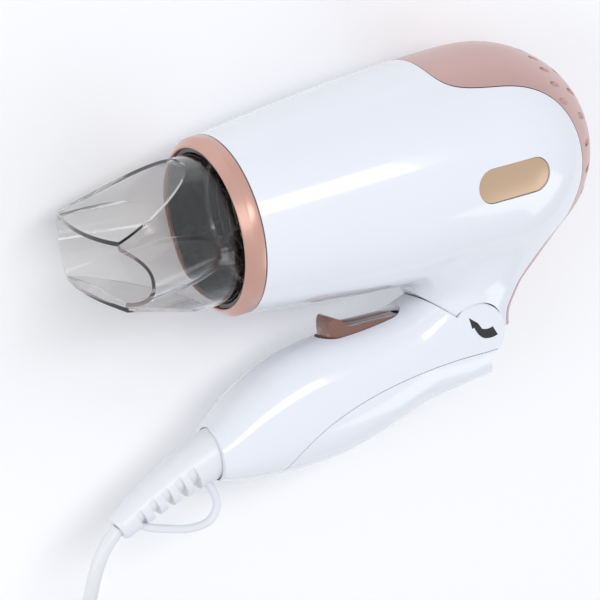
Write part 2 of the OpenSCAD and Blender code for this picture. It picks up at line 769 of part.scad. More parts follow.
plug_at = [-40, -200, 11];
plug_len = 34;
plug_half_w = 17.5;
plug_half_h = 11;
plug_tail = 20;
module plug_body() color("whitesmoke") translate(plug_at) {
    hull() {
        for (s = [-1, 1]) translate([plug_tail + plug_len - 2, s * (plug_half_w - plug_half_h), 0])
            along_x() cylinder(h = 2, r = plug_half_h, $fn = 32);
        for (s = [-1, 1]) translate([plug_tail + 8, s * (plug_half_w - plug_half_h - 1), 0])
            sphere(r = plug_half_h - 1, $fn = 32);
        translate([plug_tail - 4, 0, 0]) along_x() cylinder(h = 4, r = 6, $fn = 32);
    }
    along_x() cylinder(h = plug_tail - 3, r1 = cord_r + 1.2, r2 = 5.2);
}
module plug_pins() color("silver") translate(plug_at)
    for (s = [-1, 1]) translate([plug_tail + plug_len, s * plug_pin_gap / 2, 0]) along_x() {
        cylinder(h = plug_pin_len - 1, r = plug_pin_r);
        translate([0, 0, plug_pin_len - 1]) cylinder(h = 1, r1 = plug_pin_r, r2 = plug_pin_r - 0.8);
    }

barrel_shell_left();
barrel_shell_right();
rear_cover();
front_ring();
outlet_sleeve();
outlet_grille();
badge_left();
badge_right();
intake_filter();
fan_housing();
motor();
motor_shaft();
fan();
rectifier_board();
heater_tube();
heater_boards();
heater_coils();
thermostat();
thermal_fuse();
barrel_screws();
barrel_leads();
nozzle();
handle_shell();
handle_back();
hinge_pin();
hinge_washers();
rocker();
rocker_pin();
switch_body();
switch_terminals();
handle_leads();
cord_clamp();
clamp_screws();
handle_screws();
strain_relief();
hang_loop();
cord_lead();
cord_coil();
cord_tail();
cord_tie();
plug_body();
plug_pins();
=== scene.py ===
"""Folding travel hair dryer: its visible pieces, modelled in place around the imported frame.

Shapes are drawn in millimetres about the middle of the joint between front ring and barrel:
X runs along the barrel to the air intake, Y to the barrel's top, Z out of its left side.
seat() scales a finished mesh to metres and moves it to its place in the frame.
"""
import math

import bmesh
import bpy
from mathutils import Matrix, Vector


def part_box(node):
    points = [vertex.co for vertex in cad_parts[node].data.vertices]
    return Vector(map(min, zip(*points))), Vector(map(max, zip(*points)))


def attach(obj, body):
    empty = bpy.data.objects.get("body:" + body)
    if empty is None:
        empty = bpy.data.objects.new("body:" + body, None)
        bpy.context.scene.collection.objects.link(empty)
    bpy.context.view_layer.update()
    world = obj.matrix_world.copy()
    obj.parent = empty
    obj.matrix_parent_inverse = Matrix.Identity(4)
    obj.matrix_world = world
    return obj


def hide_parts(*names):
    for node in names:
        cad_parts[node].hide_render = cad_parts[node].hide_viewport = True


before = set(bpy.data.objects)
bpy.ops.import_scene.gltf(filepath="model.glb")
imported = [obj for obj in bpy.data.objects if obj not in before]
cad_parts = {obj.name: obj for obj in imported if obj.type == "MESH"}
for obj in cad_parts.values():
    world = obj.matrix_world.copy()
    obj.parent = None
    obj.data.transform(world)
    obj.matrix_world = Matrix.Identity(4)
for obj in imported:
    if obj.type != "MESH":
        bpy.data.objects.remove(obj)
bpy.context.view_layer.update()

MM = 0.001
ring_low, ring_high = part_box("front_ring")
ORIGIN = Vector((ring_high.x, (ring_low.y + ring_high.y) / 2, (ring_low.z + ring_high.z) / 2))


# ---- small tools ----
def pick(piece):
    """Makes piece the only selected and the active object."""
    if bpy.context.mode != "OBJECT":
        bpy.ops.object.mode_set(mode="OBJECT")
    bpy.ops.object.select_all(action="DESELECT")
    piece.select_set(True)
    bpy.context.view_layer.objects.active = piece


def deselect():
    bpy.ops.object.select_all(action="DESELECT")


def edit(piece):
    """Opens piece in edit mode with everything selected."""
    pick(piece)
    bpy.ops.object.mode_set(mode="EDIT")
    bpy.ops.mesh.select_all(action="SELECT")


def done():
    bpy.ops.object.mode_set(mode="OBJECT")


def drop(piece):
    bpy.data.objects.remove(piece)


def copied(piece, name):
    """A copy with its own mesh."""
    twin = piece.copy()
    twin.data = piece.data.copy()
    twin.name = name
    bpy.context.scene.collection.objects.link(twin)
    return twin


def settle(piece):
    """Puts the object's place into its mesh."""
    pick(piece)
    bpy.ops.object.transform_apply(location=True, rotation=True, scale=True)
    return piece


def face_out(piece):
    edit(piece)
    bpy.ops.mesh.remove_doubles(threshold=0.0005)
    bpy.ops.mesh.normals_make_consistent(inside=False)
    done()
    return piece


def apply_modifier(piece, kind, **values):
    """Adds a modifier, sets its values and applies it."""
    pick(piece)
    modifier = piece.modifiers.new(kind.lower(), kind)
    for key, value in values.items():
        setattr(modifier, key, value)
    bpy.ops.object.modifier_apply(modifier=modifier.name)
    return piece


def carve(piece, tool, how="DIFFERENCE", keep=False):
    apply_modifier(piece, "BOOLEAN", operation=how, object=tool, solver="EXACT")
    if not keep:
        drop(tool)
    return piece


def smooth(piece, angle=32):
    pick(piece)
    bpy.ops.object.shade_smooth_by_angle(angle=math.radians(angle))
    return piece


def subdivided(piece, levels):
    return apply_modifier(piece, "SUBSURF", levels=levels, render_levels=levels)


# ---- curves ----
def mix(a, b, t):
    return a + (b - a) * t


def spline(points, steps):
    """A smooth curve through all the points."""
    p = [Vector(q) for q in points]
    p = [2 * p[0] - p[1], *p, 2 * p[-1] - p[-2]]
    out = []
    for i in range(1, len(p) - 2):
        a, b, c, d = p[i - 1:i + 3]
        for k in range(steps):
            t = k / steps
            bend = (2 * a - 5 * b + 4 * c - d) * t ** 2 + (3 * b - 3 * c + d - a) * t ** 3
            out.append(0.5 * (2 * b + (c - a) * t + bend))
    return [*out, p[-2]]


def bezier(points, steps):
    p = [Vector(q) for q in points]
    out = []
    for i in range(steps + 1):
        t = i / steps
        s = 1 - t
        out.append(p[0] * s ** 3 + 3 * p[1] * s * s * t + 3 * p[2] * s * t * t + p[3] * t ** 3)
    return out


def arc(centre, radius, start, end, steps):
    out = []
    for i in range(steps + 1):
        angle = math.radians(mix(start, end, i / steps))
        out.append(Vector(centre) + radius * Vector((math.cos(angle), math.sin(angle))))
    return out


def oval(half_a, half_b, roundness, count):
    """A superellipse, from plain oval (2) towards a rounded box."""
    out = []
    for i in range(count):
        c = math.cos(2 * math.pi * i / count)
        s = math.sin(2 * math.pi * i / count)
        a = math.copysign(abs(c) ** (2 / roundness), c)
        b = math.copysign(abs(s) ** (2 / roundness), s)
        out.append((half_a * a, half_b * b))
    return out


# ---- basic bodies ----
def circle(name, count):
    deselect()
    bpy.ops.mesh.primitive_circle_add(vertices=count, radius=1)
    piece = bpy.context.object
    piece.name = name
    return piece


def loft(name, rings):
    """Extrudes a ring of edges from ring to ring and closes both ends."""
    piece = circle(name, len(rings[0]))
    edit(piece)
    mesh = bmesh.from_edit_mesh(piece.data)
    spoke = mesh.verts.layers.int.new("spoke")
    for i, v in enumerate(mesh.verts):
        v[spoke] = i
        v.co = rings[0][i]
    for ring in rings[1:]:
        bpy.ops.mesh.extrude_edges_indiv()
        mesh = bmesh.from_edit_mesh(piece.data)
        spoke = mesh.verts.layers.int["spoke"]
        for v in mesh.verts:
            if v.select:
                v.co = ring[v[spoke]]
    bpy.ops.mesh.edge_face_add()
    bpy.ops.mesh.select_non_manifold(extend=False)
    bpy.ops.mesh.edge_face_add()
    done()
    return face_out(piece)


def turned(name, profile, steps=128, closed=True):
    """Spins a profile of (x, radius) points round the barrel's axis."""
    piece = circle(name, len(profile))
    edit(piece)
    mesh = bmesh.from_edit_mesh(piece.data)
    mesh.verts.ensure_lookup_table()
    for v, (x, radius) in zip(mesh.verts, profile):
        v.co = (x, 0, radius)
    if not closed:
        last = mesh.edges.get((mesh.verts[0], mesh.verts[-1]))
        mesh.edges.remove(last)
    bmesh.update_edit_mesh(piece.data)
    bpy.ops.mesh.spin(steps=steps, angle=2 * math.pi, center=(0, 0, 0), axis=(1, 0, 0))
    done()
    return face_out(piece)


def prism(name, outline, low, high, plane="XY"):
    """An outline of (a, b) points, filled and extruded from low to high across its plane."""
    piece = circle(name, len(outline))
    edit(piece)
    mesh = bmesh.from_edit_mesh(piece.data)
    for v, (a, b) in zip(mesh.verts, outline):
        v.co = {"XY": (a, b, low), "XZ": (a, low, b), "YZ": (low, a, b)}[plane]
    bmesh.update_edit_mesh(piece.data)
    bpy.ops.mesh.edge_face_add()
    rise = high - low
    move = {"XY": (0, 0, rise), "XZ": (0, rise, 0), "YZ": (rise, 0, 0)}[plane]
    bpy.ops.mesh.extrude_region_move(TRANSFORM_OT_translate={"value": move})
    done()
    return face_out(piece)


def rod(name, start, end, radius, count=48):
    """A cylinder between two points."""
    start, end = Vector(start), Vector(end)
    deselect()
    bpy.ops.mesh.primitive_cylinder_add(vertices=count, radius=radius, depth=(end - start).length)
    piece = bpy.context.object
    piece.name = name
    piece.rotation_mode = "QUATERNION"
    piece.rotation_quaternion = (end - start).to_track_quat("Z", "Y")
    piece.location = (start + end) / 2
    return settle(piece)


def block(name, low, high):
    deselect()
    middle = (Vector(low) + Vector(high)) / 2
    bpy.ops.mesh.primitive_cube_add(size=1, location=middle)
    piece = bpy.context.object
    piece.name = name
    piece.scale = Vector(high) - Vector(low)
    return settle(piece)


def joined(name, pieces):
    """Several pieces as one object."""
    pick(pieces[0])
    for p in pieces[1:]:
        p.select_set(True)
    bpy.ops.object.join()
    pieces[0].name = name
    return pieces[0]


def swept(name, route, radius, sides=6):
    """A round tube along a route of points, as a curve with a round bevel."""
    deselect()
    line = bpy.data.curves.new(name, "CURVE")
    line.dimensions = "3D"
    line.bevel_depth = radius
    line.bevel_resolution = sides
    line.use_fill_caps = True
    run = line.splines.new("POLY")
    run.points.add(len(route) - 1)
    for point, place in zip(run.points, route):
        point.co = (*place, 1)
    piece = bpy.data.objects.new(name, line)
    bpy.context.scene.collection.objects.link(piece)
    return piece


def seat(piece, body, material, nodes=(), angle=32, at=ORIGIN):
    """Scales a piece to metres, moves its mesh to its place and hands it to a body."""
    piece.data.transform(Matrix.Translation(at) @ Matrix.Scale(MM, 4))
    return mount(piece, body, material, nodes, angle)


def mount(piece, body, material, nodes=(), angle=32):
    if piece.type == "MESH":
        smooth(piece, angle)
    piece.data.materials.clear()
    piece.data.materials.append(material)
    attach(piece, body)
    if nodes:
        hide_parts(*nodes)
    return piece


# ---- materials ----
def node_group(name, inputs, outputs):
    """An empty shader node group with named sockets and its input and output nodes."""
    group = bpy.data.node_groups.new(name, "ShaderNodeTree")
    for label, kind, value in inputs:
        socket = group.interface.new_socket(label, in_out="INPUT", socket_type="NodeSocket" + kind)
        socket.default_value = value
    for label, kind in outputs:
        group.interface.new_socket(label, in_out="OUTPUT", socket_type="NodeSocket" + kind)
    return group, group.nodes.new("NodeGroupInput"), group.nodes.new("NodeGroupOutput")


def math_node(tree, kind, a, b):
    node = tree.nodes.new("ShaderNodeMath")
    node.operation = kind
    for socket, value in zip(node.inputs, (a, b)):
        if isinstance(value, bpy.types.NodeSocket):
            tree.links.new(value, socket)
        else:
            socket.default_value = value
    return node.outputs[0]


def noise_node(tree, scale, detail=3.0, stretch=None):
    """Noise on the piece's own coordinates, in metres; scale may be a socket."""
    place = tree.nodes.new("ShaderNodeTexCoord").outputs["Object"]
    if stretch:
        mapping = tree.nodes.new("ShaderNodeMapping")
        mapping.inputs["Scale"].default_value = stretch
        tree.links.new(place, mapping.inputs["Vector"])
        place = mapping.outputs[0]
    noise = tree.nodes.new("ShaderNodeTexNoise")
    noise.inputs["Detail"].default_value = detail
    tree.links.new(place, noise.inputs["Vector"])
    if isinstance(scale, bpy.types.NodeSocket):
        tree.links.new(scale, noise.inputs["Scale"])
    else:
        noise.inputs["Scale"].default_value = scale
    return noise.outputs["Fac"]


def colour_mix(tree, fac, a, b):
    node = tree.nodes.new("ShaderNodeMix")
    node.data_type = "RGBA"
    tree.links.new(fac, node.inputs[0])
    tree.links.new(a, node.inputs[6])
    tree.links.new(b, node.inputs[7])
    return node.outputs[2]


def make_moulded():
    """Moulded skin: slow shifts of shade, faint handling marks in the gloss, a fine pebble."""
    group, start, end = node_group(
        "moulded skin",
        [("Colour", "Color", (0.8, 0.8, 0.8, 1)), ("Shade", "Color", (0.7, 0.7, 0.7, 1)),
         ("Roughness", "Float", 0.2), ("Marks", "Float", 0.05), ("Grain per metre", "Float", 900.0)],
        [("Colour", "Color"), ("Roughness", "Float"), ("Height", "Float")])
    slow = noise_node(group, 14.0, 2.0)
    group.links.new(colour_mix(group, slow, start.outputs["Colour"], start.outputs["Shade"]),
                    end.inputs["Colour"])
    smear = noise_node(group, 60.0, 5.0, stretch=(0.5, 1.0, 1.4))
    spread = math_node(group, "SUBTRACT", smear, 0.5)
    marks = math_node(group, "MULTIPLY", spread, start.outputs["Marks"])
    group.links.new(math_node(group, "ADD", start.outputs["Roughness"], marks),
                    end.inputs["Roughness"])
    group.links.new(noise_node(group, start.outputs["Grain per metre"], 2.0), end.inputs["Height"])
    return group


def make_drawn():
    """Drawn metal: fine lines along X in the gloss and the height."""
    group, start, end = node_group(
        "drawn metal",
        [("Roughness", "Float", 0.3), ("Lines", "Float", 0.15)],
        [("Roughness", "Float"), ("Height", "Float")])
    lines = noise_node(group, 500.0, 3.0, stretch=(0.05, 1.0, 1.0))
    share = math_node(group, "MULTIPLY", lines, start.outputs["Lines"])
    group.links.new(math_node(group, "ADD", start.outputs["Roughness"], share),
                    end.inputs["Roughness"])
    group.links.new(lines, end.inputs["Height"])
    return group


MOULDED = make_moulded()
DRAWN = make_drawn()


def new_material(name):
    material = bpy.data.materials.new(name)
    material.use_nodes = True
    return material, material.node_tree, material.node_tree.nodes["Principled BSDF"]


def add_bump(tree, height, shader, depth, strength):
    bump = tree.nodes.new("ShaderNodeBump")
    bump.inputs["Distance"].default_value = depth
    bump.inputs["Strength"].default_value = strength
    tree.links.new(height, bump.inputs["Height"])
    tree.links.new(bump.outputs["Normal"], shader.inputs["Normal"])


def moulded(name, colour, shade, roughness, marks=0.05, grain=900.0, depth=0.00001, metallic=0.0,
            coat=0.0, coat_roughness=0.05, ior=1.5, subsurface=0.0):
    """A moulded plastic, painted or through-coloured."""
    material, tree, shader = new_material(name)
    skin = tree.nodes.new("ShaderNodeGroup")
    skin.node_tree = MOULDED
    skin.inputs["Colour"].default_value = (*colour, 1)
    skin.inputs["Shade"].default_value = (*shade, 1)
    skin.inputs["Roughness"].default_value = roughness
    skin.inputs["Marks"].default_value = marks
    skin.inputs["Grain per metre"].default_value = grain
    tree.links.new(skin.outputs["Colour"], shader.inputs["Base Color"])
    tree.links.new(skin.outputs["Roughness"], shader.inputs["Roughness"])
    add_bump(tree, skin.outputs["Height"], shader, depth, 0.4)
    shader.inputs["Metallic"].default_value = metallic
    shader.inputs["Coat Weight"].default_value = coat
    shader.inputs["Coat Roughness"].default_value = coat_roughness
    shader.inputs["IOR"].default_value = ior
    shader.inputs["Subsurface Weight"].default_value = subsurface
    shader.inputs["Subsurface Radius"].default_value = (0.002, 0.002, 0.002)
    return material


def drawn(name, colour, roughness, lines=0.15):
    """A drawn or turned metal."""
    material, tree, shader = new_material(name)
    metal = tree.nodes.new("ShaderNodeGroup")
    metal.node_tree = DRAWN
    metal.inputs["Roughness"].default_value = roughness
    metal.inputs["Lines"].default_value = lines
    shader.inputs["Base Color"].default_value = (*colour, 1)
    shader.inputs["Metallic"].default_value = 1.0
    tree.links.new(metal.outputs["Roughness"], shader.inputs["Roughness"])
    add_bump(tree, metal.outputs["Height"], shader, 0.00002, 0.3)
    return material


def clear_plastic(name, tint=(0.92, 0.915, 0.905)):
    """Clear polycarbonate with faint flow lines."""
    material, tree, shader = new_material(name)
    skin = tree.nodes.new("ShaderNodeGroup")
    skin.node_tree = MOULDED
    skin.inputs["Roughness"].default_value = 0.03
    skin.inputs["Marks"].default_value = 0.04
    skin.inputs["Grain per metre"].default_value = 70.0
    tree.links.new(skin.outputs["Roughness"], shader.inputs["Roughness"])
    add_bump(tree, skin.outputs["Height"], shader, 0.0004, 0.25)
    shader.inputs["Base Color"].default_value = (*tint, 1)
    shader.inputs["Transmission Weight"].default_value = 1.0
    shader.inputs["IOR"].default_value = 1.12
    shader.inputs["Coat Weight"].default_value = 1.0
    shader.inputs["Coat Roughness"].default_value = 0.03
    return material


white = moulded("glossy white shell", (0.80, 0.82, 0.87), (0.76, 0.78, 0.84), 0.16, 0.05,
                depth=0.000004, coat=0.6, coat_roughness=0.04, subsurface=0.05)
rose = moulded("rose pearl ring", (0.62, 0.36, 0.29), (0.57, 0.32, 0.26), 0.30, 0.08, 2500.0,
               0.000006, metallic=0.35, coat=0.3, coat_roughness=0.15)
pink = moulded("rose pearl cover", (0.60, 0.39, 0.36), (0.54, 0.34, 0.31), 0.33, 0.08, 2500.0,
               0.000006, metallic=0.3, coat=0.25, coat_roughness=0.2)
gold = moulded("champagne inlay", (0.62, 0.44, 0.30), (0.55, 0.38, 0.26), 0.28, 0.05, 2500.0,
               0.000004, metallic=0.45, coat=0.2)
copper = moulded("copper brown rocker", (0.27, 0.13, 0.10), (0.21, 0.10, 0.078), 0.20, 0.06,
                 2500.0, 0.000004, metallic=0.4, coat=0.8)
black = moulded("heat-proof black", (0.018, 0.018, 0.02), (0.03, 0.03, 0.034), 0.26, 0.15,
                1500.0, 0.00002, coat=0.3)
ink = moulded("printed ink", (0.012, 0.012, 0.014), (0.02, 0.02, 0.022), 0.45, 0.05)
white_cord = moulded("white cord sheath", (0.78, 0.79, 0.80), (0.72, 0.73, 0.75), 0.36, 0.12,
                     1400.0, 0.00003, subsurface=0.1)
soft_white = moulded("soft white sleeve", (0.79, 0.80, 0.83), (0.74, 0.75, 0.79), 0.32, 0.10,
                     1400.0, 0.00002, subsurface=0.1)
inner_white = moulded("plain white inside", (0.72, 0.72, 0.70), (0.62, 0.62, 0.60), 0.5, 0.1)
fan_grey = moulded("grey fan plastic", (0.12, 0.125, 0.13), (0.08, 0.085, 0.09), 0.45, 0.1)
mica = moulded("mica sheet", (0.50, 0.39, 0.22), (0.36, 0.27, 0.14), 0.42, 0.3, 300.0, 0.00008)
board = moulded("board green", (0.02, 0.12, 0.05), (0.015, 0.09, 0.04), 0.3, 0.1)
red_lead = moulded("red lead", (0.42, 0.04, 0.03), (0.35, 0.03, 0.025), 0.4, 0.1)
blue_lead = moulded("blue lead", (0.04, 0.10, 0.38), (0.03, 0.08, 0.3), 0.4, 0.1)
steel = drawn("zinc steel", (0.60, 0.60, 0.62), 0.26)
nickel = drawn("plated pin", (0.66, 0.62, 0.54), 0.18, 0.1)
brass = drawn("brass", (0.70, 0.50, 0.20), 0.25)
wire = drawn("heating wire", (0.34, 0.31, 0.28), 0.45)
clear = clear_plastic("clear nozzle")
# Painted shade: a darker brownish clear for the mouth's end faces, standing in for how light makes
# the thick clear edge look.
clear_rim_painted_shade = clear_plastic("nozzle rim painted shade", (0.42, 0.33, 0.29))
tie_black = moulded("black tie", (0.02, 0.02, 0.02), (0.03, 0.03, 0.03), 0.6, 0.2, 1600.0, 0.0001)


# ---- camera ----
def place_camera():
    lens = bpy.data.cameras.new("camera")
    lens.lens = 171.4
    lens.clip_start = 0.05
    lens.clip_end = 20
    camera = bpy.data.objects.new("camera", lens)
    bpy.context.scene.collection.objects.link(camera)
    back = Vector((-0.4415, 0.2623, 0.8580))
    up = Vector((0.2574, 0.9531, -0.1590))
    right = up.cross(back)
    turn = Matrix((right, up, back)).transposed().to_4x4()
    camera.matrix_world = Matrix.Translation(ORIGIN + Vector((-0.4246, 0.2329, 0.8757))) @ turn
    bpy.context.scene.camera = camera


place_camera()


# ---- cord, in metres as the frame has it ----
CORD_D = 0.005
LEAD_START = (-0.106619, -0.069358, 0.041)
LEAD_ROUTE = [
    (-0.1113, -0.0731, 0.041), (-0.115, -0.078, 0.0406), (-0.1174, -0.0836, 0.0393),
    (-0.1188, -0.0897, 0.0369), (-0.1197, -0.0964, 0.0334), (-0.1203, -0.1038, 0.0288),
    (-0.1207, -0.1116, 0.0234), (-0.1209, -0.1198, 0.0176), (-0.121, -0.1284, 0.012),
    (-0.121, -0.1378, 0.0072), (-0.121, -0.148, 0.004), (-0.121, -0.1595, 0.0026),
    (-0.121, -0.171, 0.0025)]
TAIL_ROUTE = [
    (-0.086, -0.212, 0.0025), (-0.076, -0.212, 0.0025), (-0.066, -0.2105, 0.0026),
    (-0.057, -0.2065, 0.0042), (-0.048, -0.202, 0.008), (-0.04, -0.2, 0.011)]
COIL_MIDDLE = Vector((-0.086, -0.172, 0))
COIL_R = 0.030
# The turns' places in the coil's three by three bundle: (steps out from the middle, layer).
SLOTS = [(1, 0), (0, 0), (-1, 0), (-1, 1), (-1, 2), (0, 2), (0, 1), (1, 1), (1, 2)]
# Where the cord changes from each slot to the next, in degrees round the coil.
CHANGES = [490, 850, 1160, 1520, 1830, 2140, 2450, 2760]
COIL_START, COIL_LEAVES, COIL_END = 178.3, 3070, 3150
CHANGE_ARC = 45


def ease(t):
    t = min(max(t, 0), 1)
    return t * t * (3 - 2 * t)


def coil_route(step=6):
    """The cord's turns, each lying beside or on the last, and the way out down the side."""
    out = []
    angle = COIL_START + step
    while angle < COIL_END - step / 2:
        steps_out, layer = SLOTS[0]
        for change, (a, b), (c, d) in zip(CHANGES, SLOTS, SLOTS[1:]):
            share = ease((angle - change) / CHANGE_ARC)
            steps_out += (c - a) * share
            layer += (d - b) * share
        leave = (angle - COIL_LEAVES) / (COIL_END - COIL_LEAVES)
        steps_out += ease(leave * 1.6)
        layer -= 2 * ease(leave * 1.25 - 0.25)
        radius = COIL_R + steps_out * CORD_D
        turn = math.radians(angle)
        out.append(COIL_MIDDLE + Vector((radius * math.cos(turn), radius * math.sin(turn),
                                         (layer + 0.5) * CORD_D)))
        angle += step
    return out


lead = spline([LEAD_START, *LEAD_ROUTE], 4)
tail = spline(TAIL_ROUTE, 4)
cord_route = [*lead, *coil_route(), *tail]
cord = swept("mains_cord", cord_route, CORD_D / 2, 5)
mount(cord, "handle", white_cord, ("cord_lead", "cord_coil", "cord_tail"))


# The tie and plug are drawn in millimetres from the frame's own origin.
FRAME_START = Vector((0, 0, 0))
CORD_MM = 5.0
TIE_AT = Vector((-56, -172, 7.5))


def tie_strap():
    """A soft strap wound once round the coil's bundle, its end lying over itself."""
    reach = 1.5 * CORD_MM + 0.1
    thick = 0.8
    half_w = 3
    band = []
    for grow, past in ((thick, 0), (0, 1)):
        outline = oval(reach + grow, reach + grow, 3.4, 48)
        band.append(loft("tie", [[TIE_AT + Vector((x, y, z)) for x, z in outline]
                                 for y in (-half_w - past, half_w + past)]))
    carve(band[0], band[1])
    tongue = block("tie_tongue", TIE_AT + Vector((reach + 0.3, -half_w, -4)),
                   TIE_AT + Vector((reach + 1.6, half_w, 5)))
    apply_modifier(tongue, "BEVEL", width=0.5, segments=2)
    strap = joined("cord_tie_strap", [band[0], tongue])
    carve(strap, block("table", (-90, -190, -5), (-30, -150, 0.05)))
    return strap


def plug():
    """A flat moulded plug with a waist to grip and a ribbed tail where the cord goes in."""
    at = Vector((-40, -200, 11))
    stations = [
        (-4, 3.6, 3.6, 2), (4, 4.2, 4.2, 2), (14, 5.6, 5.2, 2), (17, 8.5, 6.8, 2.3),
        (21, 12.2, 8.6, 2.6), (26, 13.6, 9.6, 2.8), (34, 13.2, 9.4, 3), (42, 15.2, 10.2, 3.2),
        (48, 17.2, 10.9, 3.4), (52.5, 17.5, 11, 3.4), (53.6, 17, 10.5, 3.4), (54, 16.2, 9.8, 3.4)]
    rings = []
    for x, half_w, half_h, roundness in spline([Vector(s) for s in stations], 4):
        ring = oval(half_w, half_h, max(roundness, 2), 40)
        rings.append([at + Vector((x, y, z)) for y, z in ring])
    body = loft("plug_shell", rings)
    for x in (0, 4, 8, 12):
        groove = rod("groove", at + Vector((x - 0.7, 0, 0)), at + Vector((x + 0.7, 0, 0)), 8)
        core = rod("core", at + Vector((x - 1, 0, 0)), at + Vector((x + 1, 0, 0)), 3.4 + x / 14)
        carve(groove, core)
        carve(body, groove)
    for side in (-1, 1):
        for x in (30, 33, 36):
            spot = at + Vector((x, 0, side * 10.6))
            carve(body, rod("grip", spot - Vector((0, 9, 0)), spot + Vector((0, 9, 0)), 1.4, 24))
    return body


tie = seat(tie_strap(), "handle", tie_black, ["cord_tie"], at=FRAME_START)
plug_shell = seat(plug(), "handle", white_cord, ["plug_body"], 40, at=FRAME_START)


# ---- barrel: a subdivided cage with the neck drawn out of its underside ----
BARREL_LEN = 149.5
FRONT_R, FULL_R, FULL_X = 32.5, 41.0, 105.0
DOME_LEN = BARREL_LEN - FULL_X
WALL = 2.2
GAP = 0.15
PIVOT = Vector((88, -61.5))
EAR_R, EAR_HALF, KNUCKLE_HALF, PIN_R = 11, 16.5, 10.5, 2.5
TURN_GAP = 0.4
SHOULDER, NECK_END, HANDLE_END = 134.5, -5, -72
DEEP = 60


def barrel_r(x):
    """The barrel's radius: a swelling front part and a rounded rear."""
    if x <= FULL_X:
        return FRONT_R + (FULL_R - FRONT_R) * math.sin(math.pi / 2 * x / FULL_X)
    return FULL_R * math.sqrt(max(1 - ((x - FULL_X) / DOME_LEN) ** 2, 0))


CAGE_X = [0, 4, 18, 34, 51, 67, 81, 95, 109, 123, 136, 144, 148.4]
CAGE_SPOKES = 28
NECK_ROWS = (5, 10)
NECK_SPOKES = 3
# How far the neck's outline is pulled in at the corners of its square of cage points.
NECK_ROUNDING = 0.44
# Neck: height, front, rear and half depth. Heights below the barrel's axis are negative.
NECK = [(-43, 69.4, 121.5, 19.6), (-49, 71.3, 114.8, 17.9), (-55, 71.9, 110.4, 16.9),
        (-62, 72, 107.8, 16.5), (-72, 72, 107, 16.5)]


def cage_ring(x):
    """The cage's ring of points at one place along the barrel."""
    out = []
    for k in range(CAGE_SPOKES):
        turn = 2 * math.pi * k / CAGE_SPOKES
        out.append(Vector((x, -barrel_r(x) * math.cos(turn), barrel_r(x) * math.sin(turn))))
    return out


def fit_cage(piece, rounds=8):
    """Moves the cage's points until the subdivided surface passes through where they were."""
    targets = [v.co.copy() for v in piece.data.vertices]
    modifier = piece.modifiers.new("smooth", "SUBSURF")
    modifier.levels = 3
    for _ in range(rounds):
        graph = bpy.context.evaluated_depsgraph_get()
        shape = piece.evaluated_get(graph).data
        for v, target in zip(piece.data.vertices, targets):
            v.co += target - shape.vertices[v.index].co
        piece.data.update()
    piece.modifiers.remove(modifier)


def barrel_cage():
    """Rings along the barrel, closed at the pole; faces under it drawn down into the neck."""
    piece = circle("barrel", CAGE_SPOKES)
    edit(piece)
    mesh = bmesh.from_edit_mesh(piece.data)
    mesh.verts.layers.int.new("spoke")
    mesh.verts.layers.int.new("row")
    spoke, row = mesh.verts.layers.int["spoke"], mesh.verts.layers.int["row"]
    for i, (v, place) in enumerate(zip(mesh.verts, cage_ring(CAGE_X[0]))):
        v[spoke] = i
        v.co = place
    for number, x in enumerate(CAGE_X[1:], 1):
        bpy.ops.mesh.extrude_edges_indiv()
        mesh = bmesh.from_edit_mesh(piece.data)
        spoke, row = mesh.verts.layers.int["spoke"], mesh.verts.layers.int["row"]
        ring = cage_ring(x)
        for v in mesh.verts:
            if v.select:
                v.co = ring[v[spoke]]
                v[row] = number
    bpy.ops.mesh.extrude_edges_indiv()
    bpy.ops.mesh.merge(type="CENTER")
    mesh = bmesh.from_edit_mesh(piece.data)
    for v in mesh.verts:
        if v.select:
            v.co = (BARREL_LEN, 0, 0)
    bpy.ops.mesh.select_all(action="DESELECT")
    mesh = bmesh.from_edit_mesh(piece.data)
    spoke, row = mesh.verts.layers.int["spoke"], mesh.verts.layers.int["row"]

    def across(v):
        k = v[spoke]
        return k - CAGE_SPOKES if k > CAGE_SPOKES / 2 else k

    for f in mesh.faces:
        inside = all(NECK_ROWS[0] <= v[row] <= NECK_ROWS[1] and abs(across(v)) <= NECK_SPOKES
                     for v in f.verts)
        if inside and f.calc_center_median().x < BARREL_LEN - 8:
            f.select_set(True)
    mesh.select_flush_mode()
    bmesh.update_edit_mesh(piece.data)
    for drop_y, front, rear, half_z in NECK:
        bpy.ops.mesh.extrude_region()
        mesh = bmesh.from_edit_mesh(piece.data)
        spoke, row = mesh.verts.layers.int["spoke"], mesh.verts.layers.int["row"]
        middle, half_x = (front + rear) / 2, (rear - front) / 2
        for v in mesh.verts:
            if v.select:
                u = 2 * (v[row] - NECK_ROWS[0]) / (NECK_ROWS[1] - NECK_ROWS[0]) - 1
                w = across(v) / NECK_SPOKES
                v.co = (middle + half_x * u * math.sqrt(1 - NECK_ROUNDING * w * w), drop_y,
                        half_z * w * math.sqrt(1 - NECK_ROUNDING * u * u))
    done()
    return face_out(piece)


def pie(name, start, end, radius, low=-DEEP, high=DEEP):
    """A slice of space round the fold pivot between two angles."""
    return prism(name, [PIVOT, *arc(PIVOT, radius, start, end, 32)], low, high)


def at_pivot(name, radius, low, high, count=96):
    return rod(name, (*PIVOT, low), (*PIVOT, high), radius, count)


# Bosses and holes for the self-tapping screws.
BOSS_R, SCREW_HOLE_R, HEAD_HOLE_R = 3.6, 1.45, 3.0
BARREL_SCREWS = [(30, -31), (100, -41), (50, 31.5)]
BADGE_X, BADGE_Y, BADGE_LEN, BADGE_H = 97, -3, 30, 12.5


def badge_outline(grow):
    """A round-ended outline, grown for the pocket and shrunk for the inlay."""
    reach, r = (BADGE_LEN - BADGE_H) / 2, BADGE_H / 2 + grow
    right = arc((BADGE_X + reach, BADGE_Y), r, -90, 90, 20)
    return [*right, *arc((BADGE_X - reach, BADGE_Y), r, 90, 270, 20)]


